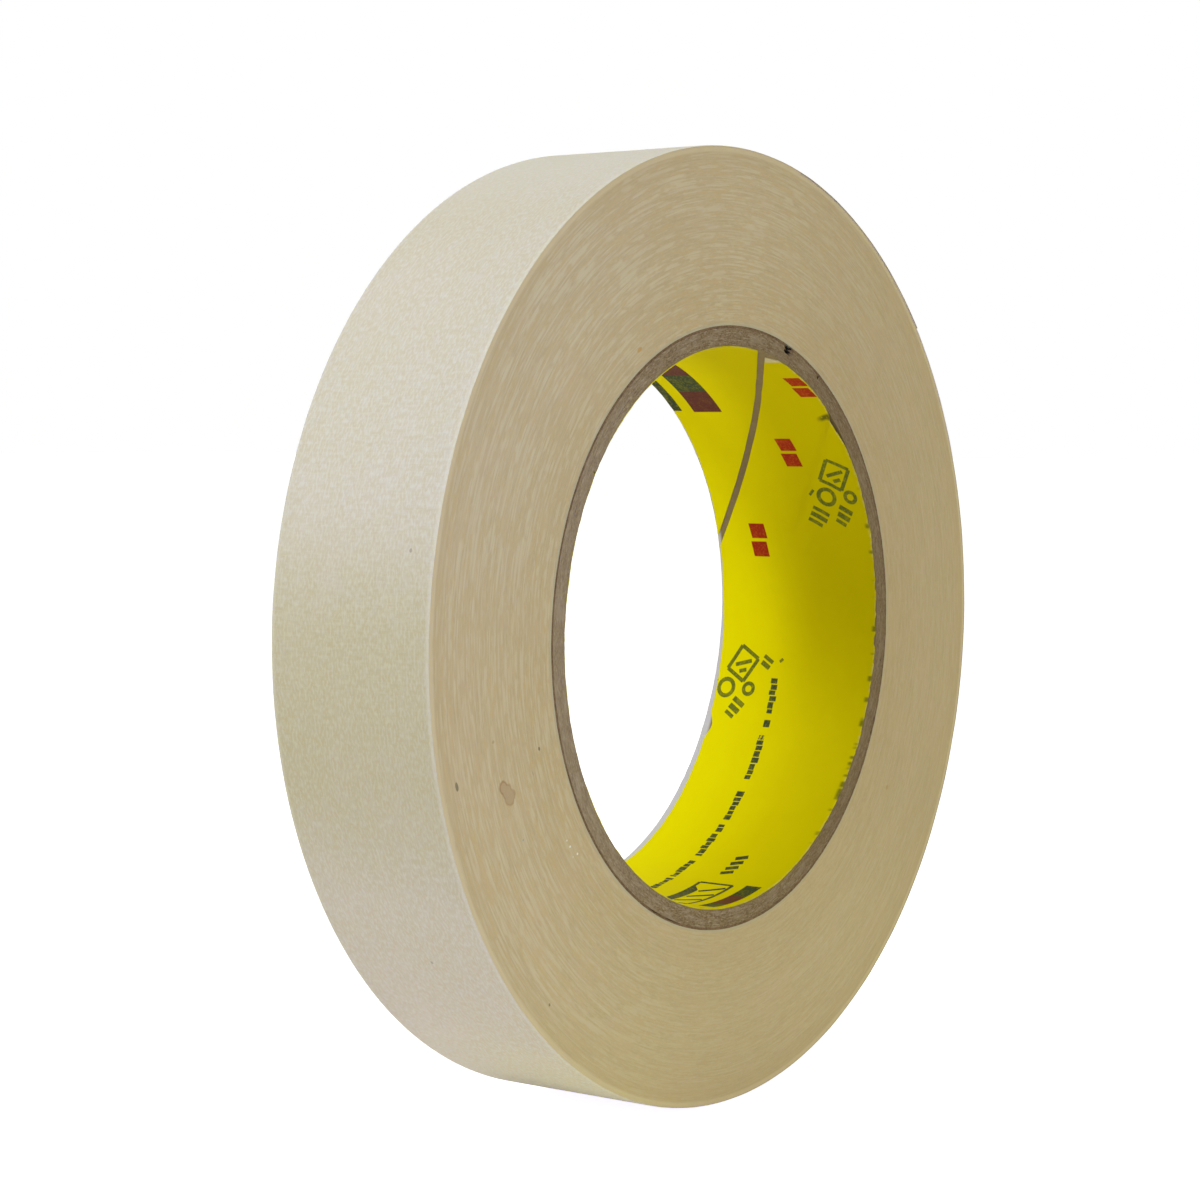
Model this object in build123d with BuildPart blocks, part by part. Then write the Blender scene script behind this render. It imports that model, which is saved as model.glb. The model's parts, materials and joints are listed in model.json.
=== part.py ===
from build123d import *
import math
import os

# A roll of masking tape: one long strip of crepe paper with adhesive on its inner side,
# wound on a board core that is itself wound from strips of paper board.
#
# The roll's axis lies along Y and the roll stands on its rim, with +Z up. The origin is on the
# axis, midway between the two side faces of the tape. The core is flush with the tape at the
# front (-Y) and stands out of it at the back (+Y). Angles are in degrees about the axis, from
# +X towards +Z. Lengths are in millimetres.

# Tape
TAPE_WIDTH = 25.0
ROLL_RADIUS = 65.0
PAPER_THICKNESS = 0.11
ADHESIVE_THICKNESS = 0.035
TAPE_THICKNESS = PAPER_THICKNESS + ADHESIVE_THICKNESS

# The free end of the strip, which lies on the lap below it until somebody peels it back
PEEL_ANGLE = 75.0
TAIL_ARC = 35.0
TAIL_CLEARANCE = 0.04
ROOT_CLEARANCE_ARC = 0.05

# Core, from the bore outwards: printed paper liner, five board plies, brown paper wrap
BORE_RADIUS = 38.1
CORE_RADIUS = 41.0
CORE_WIDTH = 27.8
LINER_THICKNESS = 0.15
WRAP_THICKNESS = 0.35
PLY_COUNT = 5
PLY_THICKNESS = (CORE_RADIUS - BORE_RADIUS - LINER_THICKNESS - WRAP_THICKNESS) / PLY_COUNT

# Each strip of the core meets its own edge along a helical seam that crosses the whole width.
# A seam's angle is the one at which it reaches the front face.
SEAM_PITCH = 150.0
SEAM_RUNOUT = 1.0
LINER_SEAM_ANGLE = 80.0
LINER_SEAM_GAP = 1.0
PLY_SEAM_ANGLE = 146.0
PLY_SEAM_STAGGER = 68.0
PLY_SEAM_GAP = 0.2
WRAP_SEAM_ANGLE = 70.0
WRAP_SEAM_GAP = 0.55

# Planes of the side faces. A sketch on Plane.XZ grows towards -Y, so each piece is drawn on
# its back face and extruded by its width.
FRONT_Y = -TAPE_WIDTH / 2
TAPE_BACK = Plane.XZ.offset(-TAPE_WIDTH / 2)
CORE_BACK = Plane.XZ.offset(-(FRONT_Y + CORE_WIDTH))

# One turn of the strip moves its surface out by one thickness. The outline of the wound roll is
# drawn as four quarter arcs, each a quarter of a thickness smaller than the one before.
QUARTER_STEP = TAPE_THICKNESS / 4


def direction(angle):
    """The unit vector at an angle in the side face's plane."""
    return Vector(math.cos(math.radians(angle)), math.sin(math.radians(angle)))


def quarter_arcs():
    """Centre, radius and start angle of the four arcs of the outermost turn, going inwards."""
    centre = (direction(PEEL_ANGLE) - direction(PEEL_ANGLE + 90)) * (QUARTER_STEP / 2)
    radius = ROLL_RADIUS - QUARTER_STEP / 2
    arcs = [(centre, radius, PEEL_ANGLE)]
    for quarter in range(1, 4):
        start = PEEL_ANGLE + 90 * quarter
        centre = centre + direction(start) * QUARTER_STEP
        radius = radius - QUARTER_STEP
        arcs.append((centre, radius, start))
    return arcs


def save(part, label):
    part.label = label
    export_step(part, f"parts/{label}.step")


def core_strip(label, inner_radius, outer_radius, seam_angle, seam_gap):
    """One strip of the core: a sleeve that is open along its helical seam."""
    angle = seam_angle + SEAM_RUNOUT * 360 / SEAM_PITCH
    radial = Vector(math.cos(math.radians(angle)), 0, math.sin(math.radians(angle)))
    start = Plane(origin=(0, FRONT_Y - SEAM_RUNOUT, 0), x_dir=radial, z_dir=(0, 1, 0))
    thickness = outer_radius - inner_radius
    seam = start * Helix(SEAM_PITCH, CORE_WIDTH + 2 * SEAM_RUNOUT, inner_radius + thickness / 2)
    across = Plane(origin=seam @ 0, x_dir=radial, z_dir=seam % 0)
    with BuildPart() as strip:
        with BuildSketch(CORE_BACK):
            Circle(outer_radius)
            Circle(inner_radius, mode=Mode.SUBTRACT)
        extrude(amount=CORE_WIDTH)
        with BuildSketch(across):
            Rectangle(thickness + 2 * SEAM_RUNOUT, seam_gap)
        sweep(path=seam, is_frenet=True, mode=Mode.SUBTRACT)
    save(strip.part, label)


def core():
    """The liner, the board plies and the wrap, each on the outside of the one before."""
    radius = BORE_RADIUS + LINER_THICKNESS
    core_strip("core_liner", BORE_RADIUS, radius, LINER_SEAM_ANGLE, LINER_SEAM_GAP)
    for number in range(1, PLY_COUNT + 1):
        seam_angle = PLY_SEAM_ANGLE + PLY_SEAM_STAGGER * (number - 1)
        core_strip(f"core_ply_{number}", radius, radius + PLY_THICKNESS, seam_angle, PLY_SEAM_GAP)
        radius = radius + PLY_THICKNESS
    core_strip("core_wrap", radius, CORE_RADIUS, WRAP_SEAM_ANGLE, WRAP_SEAM_GAP)


def wound_tape():
    """The wound laps, stuck to each other: round the core inside, one spiral turn outside."""
    with BuildPart() as winding:
        with BuildSketch(TAPE_BACK):
            with BuildLine():
                arcs = [CenterArc(centre, radius, start, 90) for centre, radius, start in quarter_arcs()]
                Line(arcs[-1] @ 1, arcs[0] @ 0)
            make_face()
            Circle(CORE_RADIUS, mode=Mode.SUBTRACT)
        extrude(amount=TAPE_WIDTH)
    save(winding.part, "wound_tape")


def tail_layer(label, inner_height, outer_height):
    """One layer of the free end, between two heights above the lap that it lies on."""
    centre, lap_radius, _ = quarter_arcs()[-1]
    tip_angle = PEEL_ANGLE - TAIL_ARC
    arc = TAIL_ARC - ROOT_CLEARANCE_ARC
    with BuildPart() as layer:
        with BuildSketch(TAPE_BACK):
            with BuildLine():
                inner = CenterArc(centre, lap_radius + inner_height, tip_angle, arc)
                outer = CenterArc(centre, lap_radius + outer_height, tip_angle, arc)
                Line(inner @ 0, outer @ 0)
                Line(inner @ 1, outer @ 1)
            make_face()
        extrude(amount=TAPE_WIDTH)
    save(layer.part, label)


def tail():
    """The free end's adhesive and the paper that carries it."""
    adhesive_top = TAIL_CLEARANCE + ADHESIVE_THICKNESS
    tail_layer("tail_adhesive", TAIL_CLEARANCE, adhesive_top)
    tail_layer("tail_paper", adhesive_top, TAIL_CLEARANCE + TAPE_THICKNESS)


def peel_line():
    """The corner that the free end turns about, at its outer surface."""
    centre, lap_radius, _ = quarter_arcs()[-1]
    return centre + direction(PEEL_ANGLE) * (lap_radius + TAIL_CLEARANCE + TAPE_THICKNESS)


os.makedirs("parts", exist_ok=True)
core()
wound_tape()
tail()
pivot = peel_line()
print(f"peel hinge at x {pivot.X:.4f} mm, z {pivot.Y:.4f} mm, along Y")
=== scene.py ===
import json
import math

import bpy
import numpy as np
from mathutils import Matrix, Vector


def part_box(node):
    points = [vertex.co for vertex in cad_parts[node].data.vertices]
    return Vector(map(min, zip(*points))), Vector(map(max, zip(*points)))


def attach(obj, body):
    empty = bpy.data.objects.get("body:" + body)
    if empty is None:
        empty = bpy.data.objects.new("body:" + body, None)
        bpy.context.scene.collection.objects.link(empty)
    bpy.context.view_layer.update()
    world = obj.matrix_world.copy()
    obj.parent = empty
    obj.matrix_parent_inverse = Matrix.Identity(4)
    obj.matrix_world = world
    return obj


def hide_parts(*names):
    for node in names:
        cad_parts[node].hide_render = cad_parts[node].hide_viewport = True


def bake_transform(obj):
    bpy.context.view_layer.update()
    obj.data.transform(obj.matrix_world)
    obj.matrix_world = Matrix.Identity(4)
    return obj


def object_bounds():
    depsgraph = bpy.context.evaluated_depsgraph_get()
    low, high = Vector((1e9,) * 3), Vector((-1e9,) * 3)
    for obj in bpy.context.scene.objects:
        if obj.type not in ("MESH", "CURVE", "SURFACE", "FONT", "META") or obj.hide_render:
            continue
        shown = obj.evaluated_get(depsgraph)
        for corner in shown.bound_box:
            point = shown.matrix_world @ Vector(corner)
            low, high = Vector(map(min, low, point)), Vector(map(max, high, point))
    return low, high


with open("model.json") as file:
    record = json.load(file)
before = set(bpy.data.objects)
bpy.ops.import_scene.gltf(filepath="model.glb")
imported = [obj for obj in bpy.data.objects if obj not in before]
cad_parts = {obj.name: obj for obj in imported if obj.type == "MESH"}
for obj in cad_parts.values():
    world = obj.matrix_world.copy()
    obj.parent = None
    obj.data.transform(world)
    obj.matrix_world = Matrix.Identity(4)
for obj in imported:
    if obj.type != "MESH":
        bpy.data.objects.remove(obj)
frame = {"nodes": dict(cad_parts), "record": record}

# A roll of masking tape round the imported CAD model. Lengths are in metres and angles in degrees
# about the roll's axis, from +X towards +Z. The strip is wound inwards as its angle grows.

CAD_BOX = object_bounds()
MM = 0.001
TURN = 360.0

# ---- Measures taken from the frame ----


def radii(node):
    """The smallest and the largest distance of a CAD node's corners from the roll's axis."""
    distances = [math.hypot(v.co.x, v.co.z) for v in frame["nodes"][node].data.vertices]
    return min(distances), max(distances)


def lowest_angle(node):
    """The smallest angle that a CAD node's corners reach."""
    return min(math.degrees(math.atan2(v.co.z, v.co.x)) for v in frame["nodes"][node].data.vertices)


PIVOT = Vector(frame["record"]["behaviour"]["joints"][0]["pos_m"])
PEEL_ANGLE = math.degrees(math.atan2(PIVOT.z, PIVOT.x))
TIP_ANGLE = lowest_angle("tail_paper")
ROLL_RADIUS = radii("wound_tape")[1]
TAPE_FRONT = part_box("wound_tape")[0][1]
TAPE_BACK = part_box("wound_tape")[1][1]
CORE_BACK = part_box("core_liner")[1][1]
BORE_RADIUS, LINER_RADIUS = radii("core_liner")
CORE_RADIUS = radii("core_wrap")[1]
PLIES = sorted(name for name in frame["nodes"] if name.startswith("core_ply_"))
FLOOR_HEIGHT = CAD_BOX[0][2]

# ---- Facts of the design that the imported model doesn't spell out ----

TAPE_THICKNESS = 0.145 * MM
PAPER_THICKNESS = 0.11 * MM
SEAM_PITCH = 150 * MM
LINER_SEAM_ANGLE = 80.0
LINER_SEAM_GAP = 1.0 * MM
PLY_SEAM_ANGLE = 146.0
PLY_SEAM_STAGGER = 68.0
PLY_SEAM_GAP = 0.2 * MM
WRAP_SEAM_ANGLE = 70.0
WRAP_SEAM_GAP = 0.55 * MM

# ---- Noise ----

NOISE_CELLS = 512


def bumps(along, across, cell_along, cell_across, seed):
    """Smooth random values from -1 to 1 that change over cells of the given size."""
    lattice = np.random.default_rng(seed).uniform(-1, 1, (NOISE_CELLS, NOISE_CELLS))
    a = np.asarray(along, float) / cell_along
    b = np.asarray(across, float) / cell_across
    a, b = np.broadcast_arrays(a, b)
    i = np.floor(a).astype(int)
    j = np.floor(b).astype(int)
    s = (a - i) ** 2 * (3 - 2 * (a - i))
    t = (b - j) ** 2 * (3 - 2 * (b - j))
    i, j = i % NOISE_CELLS, j % NOISE_CELLS
    next_i, next_j = (i + 1) % NOISE_CELLS, (j + 1) % NOISE_CELLS
    low = lattice[i, j] * (1 - s) + lattice[next_i, j] * s
    high = lattice[i, next_j] * (1 - s) + lattice[next_i, next_j] * s
    return low * (1 - t) + high * t


def dip(angle, centre, width):
    """1 at an angle and falling smoothly to 0 over a width each side of it."""
    away = (np.asarray(angle, float) - centre + TURN / 2) % TURN - TURN / 2
    return np.exp(-((away / width) ** 2))


def ease(value, start, end):
    """0 up to start, 1 from end on, and smooth between them."""
    t = np.clip((np.asarray(value, float) - start) / (end - start), 0, 1)
    return t * t * (3 - 2 * t)


# ---- Meshes ----


def polar(radius, angle, y):
    """Points at a distance from the axis, an angle about it and a place along it."""
    radius, angle, y = np.broadcast_arrays(radius, np.radians(angle), y)
    return np.stack([radius * np.cos(angle), y, radius * np.sin(angle)], axis=-1)


def quads(grid):
    """Four-sided faces between the neighbours of a two-way grid of point numbers."""
    corners = [grid[:-1, :-1], grid[:-1, 1:], grid[1:, 1:], grid[1:, :-1]]
    return np.stack(corners, axis=-1).reshape(-1, 4).tolist()


def block(counts, place, closed=False, plain_inside=False):
    """The closed skin of a bent block, as its points, its faces and the points' fractions.

    counts are the steps along, across and through the block, and place turns the fractions along,
    across and through into points. closed joins the two ends to a ring. plain_inside leaves the
    side at fraction 0 through the block undivided across.
    """
    along, across, through = counts
    i, j, k = np.meshgrid(*[np.arange(n + 1) for n in counts], indexing="ij")
    skin = (j == 0) | (j == across) | (k == 0) | (k == through)
    if closed:
        skin &= i < along
    else:
        skin |= (i == 0) | (i == along)
    if plain_inside:
        skin &= (k > 0) | (j == 0) | (j == across)
    grid = np.full(skin.shape, -1)
    grid[skin] = np.arange(skin.sum())
    if closed:
        grid[along] = grid[0]
    fractions = np.stack([i[skin] / along, j[skin] / across, k[skin] / through], axis=-1)
    inside_step = across if plain_inside else 1
    faces = quads(grid[:, :, -1]) + quads(grid[:, ::-inside_step, 0])
    faces += quads(grid[:, 0, :]) + quads(grid[:, -1, ::-1])
    if not closed and plain_inside:
        faces.append([grid[0, 0, 0]] + grid[0, :, -1].tolist() + [grid[0, -1, 0]])
        faces.append(([grid[-1, 0, 0]] + grid[-1, :, -1].tolist() + [grid[-1, -1, 0]])[::-1])
    elif not closed:
        faces += quads(grid[0, ::-1, :]) + quads(grid[-1])
    return place(*fractions.T), faces, fractions


def enclosed_volume(points, faces):
    """The volume that the faces enclose, below zero if they face inwards."""
    total = 0.0
    for size in sorted({len(face) for face in faces}):
        corners = points[np.array([face for face in faces if len(face) == size])]
        for n in range(1, size - 1):
            crossed = np.cross(corners[:, n], corners[:, n + 1])
            total += np.einsum("ij,ij->i", corners[:, 0], crossed).sum()
    return total / 6


def outward(points, faces):
    """The faces, turned so that they face outwards."""
    return faces if enclosed_volume(points, faces) > 0 else [face[::-1] for face in faces]


def new_object(name, data):
    """An object of a mesh, lamp or camera, in the scene."""
    made = bpy.data.objects.new(name, data)
    bpy.context.scene.collection.objects.link(made)
    return made


def piece(name, shells, material, sharp=40.0, strip=None):
    """A mesh object of closed shells. strip gives each point its place on the unwound tape."""
    points = np.concatenate([shell[0] for shell in shells])
    faces = []
    offset = 0
    for shell in shells:
        turned = outward(shell[0], shell[1])
        faces += [[offset + int(number) for number in face] for face in turned]
        offset += len(shell[0])
    mesh = bpy.data.meshes.new(name)
    mesh.from_pydata(points.tolist(), [], faces)
    mesh.polygons.foreach_set("use_smooth", [True] * len(mesh.polygons))
    mesh.set_sharp_from_angle(angle=math.radians(sharp))
    if strip is not None:
        corners = np.empty(len(mesh.loops), dtype=np.int32)
        mesh.loops.foreach_get("vertex_index", corners)
        layer = mesh.uv_layers.new(name="Strip")
        layer.data.foreach_set("uv", strip[corners].astype(np.float32).ravel())
    mesh.materials.append(material)
    return new_object(name, mesh)


# ---- The strip: the outermost lap and the free end ----

STRIP_STEP = 0.375 * MM
STRIP_COLUMNS = 70
EDGE_STEPS = np.array([0.0, 0.04, 0.1, 0.2, 0.32, 0.5]) * MM
EDGE_ROUNDING = 0.5 * MM
EDGE_DROP = 0.085 * MM
STRIP_JOINT_ANGLE = PEEL_ANGLE + 5.0
TAIL_LIFT = 0.03 * MM
TAIL_LIFT_ARC = 3.0
TIP_LIFT = 0.04 * MM
TIP_LIFT_ARC = 9.0


def spiral_radius(angle):
    """The outer surface of the outermost lap, and of the free end before the peel line."""
    return ROLL_RADIUS - TAPE_THICKNESS * (angle - PEEL_ANGLE) / TURN


def strip_columns():
    """Places across the tape, close together where its edges are rounded."""
    inner = np.linspace(TAPE_FRONT + EDGE_STEPS[-1], TAPE_BACK - EDGE_STEPS[-1], STRIP_COLUMNS + 1)
    return np.concatenate([TAPE_FRONT + EDGE_STEPS[:-1], inner, TAPE_BACK - EDGE_STEPS[-2::-1]])


def edge_drop(y):
    """How far the paper's surface falls towards its two edges."""
    from_edge = np.minimum(y - TAPE_FRONT, TAPE_BACK - y)
    return EDGE_DROP * np.clip(1 - from_edge / EDGE_ROUNDING, 0, 1) ** 2


def crepe_relief(angle, y):
    """The paper's crepe, a little below its smooth surface."""
    length = np.radians(angle) * ROLL_RADIUS
    fine = bumps(length, y, 1.5 * MM, 0.75 * MM, 11)
    coarse = bumps(length, y, 4 * MM, 3 * MM, 12)
    wave = bumps(length, y, 17 * MM, 9 * MM, 13)
    return (0.024 + 0.006 * fine + 0.006 * coarse + 0.01 * wave) * MM


def strip_edge(angle, y):
    """The edges of the paper wander in by a few hundredths of a millimetre."""
    length = np.radians(angle) * ROLL_RADIUS
    wander = (0.03 + 0.02 * bumps(length, 0 * y, 3 * MM, 1, 14)) * MM
    return y + np.where(y < 0, wander, -wander) * (np.abs(y) > TAPE_BACK - EDGE_ROUNDING)


def strip(first, last, inner, outer, relief, lift=None):
    """A stretch of the strip between two angles and two depths below its smooth surface."""
    columns = strip_columns()
    steps = round(math.radians(last - first) * ROLL_RADIUS / STRIP_STEP)

    def place(along, across, through):
        angle = first + along * (last - first)
        y = np.interp(across, np.linspace(0, 1, len(columns)), columns)
        surface = outer + (edge_drop(y) + crepe_relief(angle, y)) * relief
        depth = inner + (surface - inner) * through
        raised = lift(angle) if lift else 0
        return polar(spiral_radius(angle) - depth + raised, angle, strip_edge(angle, y))

    shell = block((steps, len(columns) - 1, 1), place, plain_inside=True)
    length = np.radians(first + shell[2][:, 0] * (last - first)) * ROLL_RADIUS
    return shell, np.stack([length, shell[0][:, 1]], axis=-1)


def tail_lift(angle):
    """The free end lies on the lap below it, and its tip stands up a little."""
    lying = TAIL_LIFT * ease(-angle, -PEEL_ANGLE, -PEEL_ANGLE + TAIL_LIFT_ARC)
    return lying + TIP_LIFT * ease(-angle, -TIP_ANGLE - TIP_LIFT_ARC, -TIP_ANGLE) ** 1.5


def make_outer_lap(material):
    """The outermost lap, up to where the free end joins it."""
    shell, unwound = strip(STRIP_JOINT_ANGLE, PEEL_ANGLE + TURN, TAPE_THICKNESS, 0, 1)
    return piece("outer_lap", [shell], material, strip=unwound)


def torn_end(shell):
    """The free end was torn off, so its last edge is a little uneven."""
    points, faces, fractions = shell
    y = points[:, 1]
    coarse = bumps(y, 0 * y, 2.2 * MM, 1, 15)
    fine = bumps(y, 0 * y, 0.5 * MM, 1, 16)
    tear = (0.35 * coarse + 0.16 * fine - 0.5) * MM
    share = ease(-fractions[:, 0], -0.06, 0)
    turn = tear * share / ROLL_RADIUS
    x = points[:, 0] * np.cos(turn) + points[:, 2] * np.sin(turn)
    z = points[:, 2] * np.cos(turn) - points[:, 0] * np.sin(turn)
    return np.stack([x, y, z], axis=-1), faces, fractions


def make_tail(paper, glue):
    """The free end, with its adhesive as a layer of its own."""
    made = []
    layers = (("tail_strip_paper", paper, PAPER_THICKNESS, 0, 1),
              ("tail_strip_adhesive", glue, TAPE_THICKNESS, PAPER_THICKNESS, 0))
    for name, material, inner, outer, relief in layers:
        shell, unwound = strip(TIP_ANGLE, STRIP_JOINT_ANGLE, inner, outer, relief, tail_lift)
        made.append(piece(name, [torn_end(shell)], material, strip=unwound))
    return made


# ---- The wound laps ----

LAP_STEPS = 224
LAP_COUNT = int((ROLL_RADIUS - TAPE_THICKNESS - CORE_RADIUS) / TAPE_THICKNESS)


def lap_depth(number, radius, seed):
    """How far a lap's edge lies below the plane of the side face."""
    turns = number / LAP_STEPS
    each = bumps(turns, 0 * turns, 0.09, 1, seed)
    slow = bumps(turns, 0 * turns, 0.7, 1, seed + 1)
    angle = np.radians(turns * TURN)
    swell = bumps(radius, 0 * radius, 1.6 * MM, 1, seed + 2)
    broad = bumps(np.cos(angle) * 2.5 + 9, radius, 1, 6 * MM, seed + 3)
    rim = ease(radius, ROLL_RADIUS - 0.9 * MM, ROLL_RADIUS - 0.1 * MM)
    return (0.075 + 0.011 * each + 0.008 * slow + 0.016 * swell + 0.02 * broad + 0.05 * rim) * MM


def make_wound_laps(material):
    """All laps under the outermost one: one row of points along the edge of each lap."""
    count = LAP_COUNT * LAP_STEPS
    number = np.arange(count)
    start_radius = ROLL_RADIUS - TAPE_THICKNESS
    pitch = (start_radius - CORE_RADIUS) / LAP_COUNT
    radius = start_radius - pitch * number / LAP_STEPS
    radius[count - LAP_STEPS:] = CORE_RADIUS
    angle = PEEL_ANGLE + TURN * number / LAP_STEPS
    front = polar(radius, angle, TAPE_FRONT + lap_depth(number, radius, 21))
    back = polar(radius, angle, TAPE_BACK - lap_depth(number, radius, 31))

    follow = np.append(number[1:], count - LAP_STEPS)
    first = number[:count - LAP_STEPS]
    below = first + LAP_STEPS
    ring = np.stack([first, follow[first], follow[below], below], axis=-1)
    faces = [face.tolist() for face in ring[:-1]] + [[int(first[-1]), count - LAP_STEPS, count - 1]]
    faces += [[count + n for n in face[::-1]] for face in faces]
    walls = [number[:LAP_STEPS], number[count - LAP_STEPS:]]
    for wall, turned in zip(walls, (1, -1)):
        side = np.stack([wall, wall + count, follow[wall] + count, follow[wall]], axis=-1)
        faces += side[:, ::turned].tolist()
    faces.append([0, LAP_STEPS, count + LAP_STEPS, count])
    return piece("wound_laps", [(np.concatenate([front, back]), faces)], material, sharp=60)


# ---- The core ----

SLEEVE_STEPS = 540
SLEEVE_ROWS = 14
LINER_STEPS = 600
LINER_ROWS = 48
INK_HEIGHT = 0.012 * MM
INK_SUNK = 0.3
DEGREE_LENGTH = math.radians(1) * BORE_RADIUS / MM
RIDGE_ANGLE = 49.8
NOTCH_ANGLE = 70.3
NOTCH_DEPTH = 1.5 * MM
NOTCH_ARC = 0.75
LINER_SLACK = 0.04 * MM
CUT_BACK = 0.4 * MM
CUT_SLANT = 0.85 * MM


def seam_at(front_angle, y):
    """The angle of a strip's seam at a place along the axis."""
    return front_angle - (y - TAPE_FRONT) / SEAM_PITCH * TURN


def seam_angle_gap(gap, radius):
    """The angle that a seam of some width takes up round the axis."""
    slope = math.atan2(SEAM_PITCH, 2 * math.pi * radius)
    return math.degrees(gap / math.sin(slope) / radius)


def core_back(angle):
    """Where the core's back end lies: the saw has cut it a little out of square."""
    return CORE_BACK - np.clip(CUT_BACK + CUT_SLANT * np.sin(np.radians(angle)), 0, None)


def sleeve(inner, outer, front_angle, gap, seed, lifted=None, chip=0):
    """One strip of the core, with the rough ends that a saw leaves on board."""
    open_angle = seam_angle_gap(gap, inner)

    def place(along, across, through):
        nominal = TAPE_FRONT + across * (CORE_BACK - TAPE_FRONT)
        angle = seam_at(front_angle, nominal) + open_angle / 2 + along * (TURN - open_angle)
        y = TAPE_FRONT + across * (core_back(angle) - TAPE_FRONT)
        round_length = np.radians(angle % TURN) * inner
        radius = inner + through * (outer - inner)
        rough = bumps(round_length, radius, 0.7 * MM, 0.17 * MM, seed)
        slow = bumps(round_length, 0 * radius, 6 * MM, 1, seed + 1)
        cut = (0.05 + 0.03 * rough + 0.02 * slow) * MM
        opened = ease(radius, inner + 0.1 * MM, inner + 0.3 * MM)
        notch = chip * dip(angle, NOTCH_ANGLE, NOTCH_ARC) * opened
        y = y + (cut + notch) * (across == 0) - cut * (across == 1)
        if lifted:
            radius = radius + lifted(angle, y) * (1 - through)
        return polar(radius, angle, y)

    return block((SLEEVE_STEPS, SLEEVE_ROWS, 3), place)


def make_plies(material):
    """The board plies. The notch in the wrap goes on into the two outermost."""
    made = []
    for number, node in enumerate(PLIES):
        inner, outer = radii(node)
        front_angle = PLY_SEAM_ANGLE + PLY_SEAM_STAGGER * number
        chip = NOTCH_DEPTH if number >= len(PLIES) - 2 else 0
        shell = sleeve(inner, outer, front_angle, PLY_SEAM_GAP, 41 + 2 * number, chip=chip)
        made.append(piece(node.replace("core", "board"), [shell], material, sharp=50))
    return made


def wrap_slit(angle, y):
    """Near the bottom left of the front face, the wrap has come away from the board."""
    ends = dip(angle, -117.5, 2.2) + dip(angle, -111.5, 1.6)
    return 0.17 * MM * np.clip(ends, 0, 1) * ease(-y, -TAPE_FRONT - 5 * MM, -TAPE_FRONT)


def make_wrap(material):
    """The brown strip round the board, with the notch where its seam ends."""
    inner, outer = radii("core_wrap")
    shell = sleeve(inner, outer, WRAP_SEAM_ANGLE, WRAP_SEAM_GAP, 61, wrap_slit, NOTCH_DEPTH)
    return piece("board_wrap", [shell], material, sharp=50)


def liner_lift(angle, y):
    """How far the liner stands off the board.

    It has gentle waves and a low ridge along a seam of the board below it. At the front edge the
    ridge ends in a fold that stands open.
    """
    length = np.radians(angle % TURN) * BORE_RADIUS
    waves = (0.02 + 0.02 * bumps(length, y, 11 * MM, 8 * MM, 71)) * MM
    past = (seam_at(RIDGE_ANGLE, y) - angle + TURN / 2) % TURN - TURN / 2
    from_front = y - TAPE_FRONT
    fold = ease(past, -0.5, 1.1) * ease(-past, -13, -2) * ease(-from_front, -4.5 * MM, 0)
    ridge = ease(past, -2.6, 1.4) * ease(-past, -9, -1.5) * ease(-from_front, -17 * MM, -9 * MM)
    return waves + 0.4 * MM * fold + 0.25 * MM * ridge


# Tears of the liner's back edge: depth in millimetres, angle and half width
LINER_TEARS = ((0.85, -52, 40), (0.95, -28.2, 2.3), (0.2, -12, 8))


def liner_edges(angle):
    """Where the liner's front and back edges run: cut and a little torn."""
    turned = np.asarray(angle, float) % TURN
    length = np.radians(turned) * BORE_RADIUS
    fine = bumps(length, 0 * length, 0.6 * MM, 1, 72)
    slow = bumps(length, 0 * length, 4 * MM, 1, 73)
    ragged = 0.05 * fine + 0.07 * slow
    nicks = np.clip(bumps(length, 0 * length, 0.9 * MM, 1, 74) - 0.4, 0, 1) * dip(angle, -22, 38)
    corner = ease(turned, 72.3, 75.4) * (turned < 79.7)
    front = TAPE_FRONT + (0.13 + ragged + 0.55 * nicks + 1.3 * corner) * MM
    torn = sum(depth * dip(angle, centre, width) for depth, centre, width in LINER_TEARS)
    back = core_back(angle) - (0.31 + 1.3 * ragged + torn) * MM
    return front, back


def liner_point(angle, y, height):
    """A point at a height above the liner's printed face, towards the axis."""
    return polar(BORE_RADIUS + LINER_SLACK - liner_lift(angle, y) - height, angle, y)


def make_liner(material):
    """The printed paper in the bore, open along its slanting seam."""
    open_angle = seam_angle_gap(LINER_SEAM_GAP, BORE_RADIUS)
    thickness = LINER_RADIUS - BORE_RADIUS - LINER_SLACK

    def place(along, across, through):
        y = TAPE_FRONT + across * (CORE_BACK - TAPE_FRONT)
        # The edges' places depend on the angle and the angle on the place: both settle in steps
        for _ in range(6):
            angle = seam_at(LINER_SEAM_ANGLE, y) + open_angle / 2 + along * (TURN - open_angle)
            front, back = liner_edges(angle)
            y = (y + front + across * (back - front)) / 2
        uneven = 0.2 * bumps(y, 0 * y, 1.3 * MM, 1, 75) * (np.abs(along - 0.5) > 0.499)
        return liner_point(angle + uneven, y, -through * thickness)

    shell = block((LINER_STEPS, LINER_ROWS, 1), place)
    return piece("liner", [shell], material)


# ---- Plain printed marks on the liner ----


def ink_point(angle, y, through):
    """A point of a mark's thin ink. Marks end where the liner does."""
    front, back = liner_edges(angle)
    return liner_point(angle, np.clip(y, front, back), (through - INK_SUNK) * INK_HEIGHT)


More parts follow.
